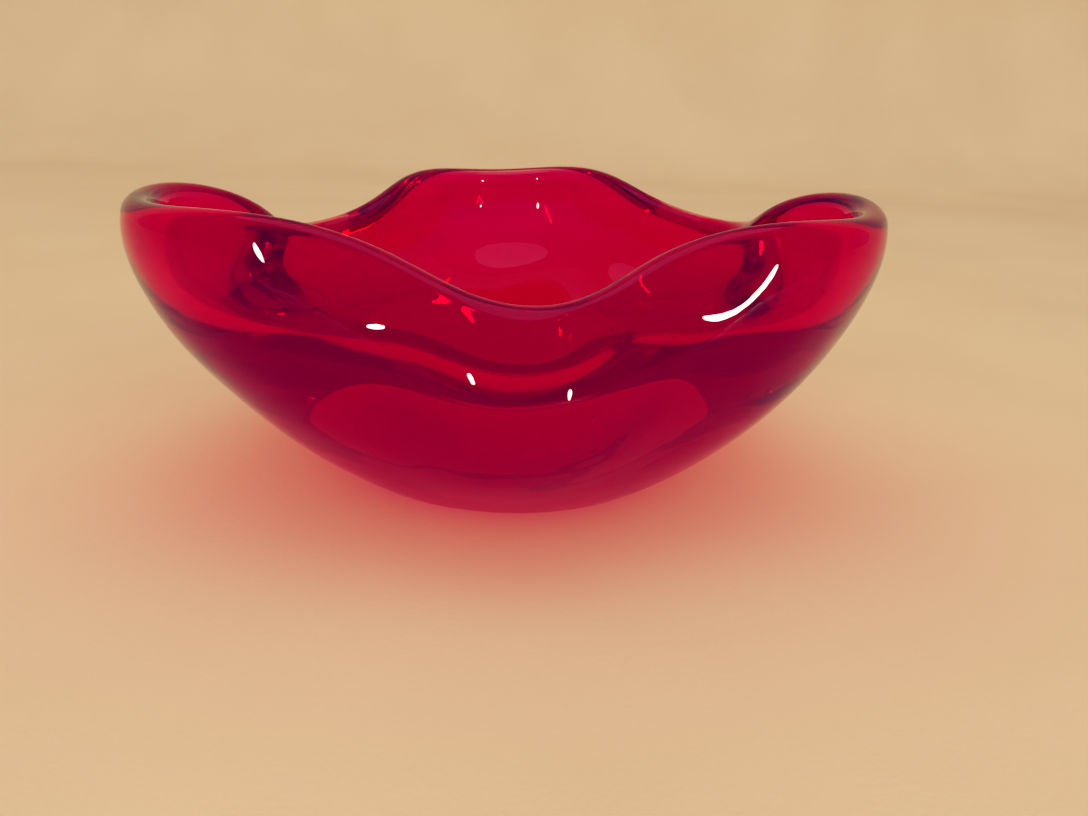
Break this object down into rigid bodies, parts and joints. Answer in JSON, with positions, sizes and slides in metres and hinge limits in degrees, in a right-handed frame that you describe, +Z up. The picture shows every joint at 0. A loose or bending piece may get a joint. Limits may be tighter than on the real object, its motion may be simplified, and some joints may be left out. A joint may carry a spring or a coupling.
{
  "type": "art glass bowl",
  "caption": "Heavy hand-formed bowl of ruby glass cased in clear glass, with raised rounded lobes, dipped rim between them and a ground flat foot.",
  "frame": {"origin": "centre of the ground foot, on the plane the bowl stands on", "axes": "+Z up out of the hollow, +Y towards the back lobe, +X to the right seen from the front dip"},
  "size_m": [0.1996, 0.1978, 0.0857],
  "materials": {
    "clear_glass": "fire polished, ground flat under the foot",
    "ruby_glass": "fire polished"
  },
  "bodies": {
    "root": {"clear_casing": "clear_glass", "ruby_core": "ruby_glass"}
  },
  "joints": []
}
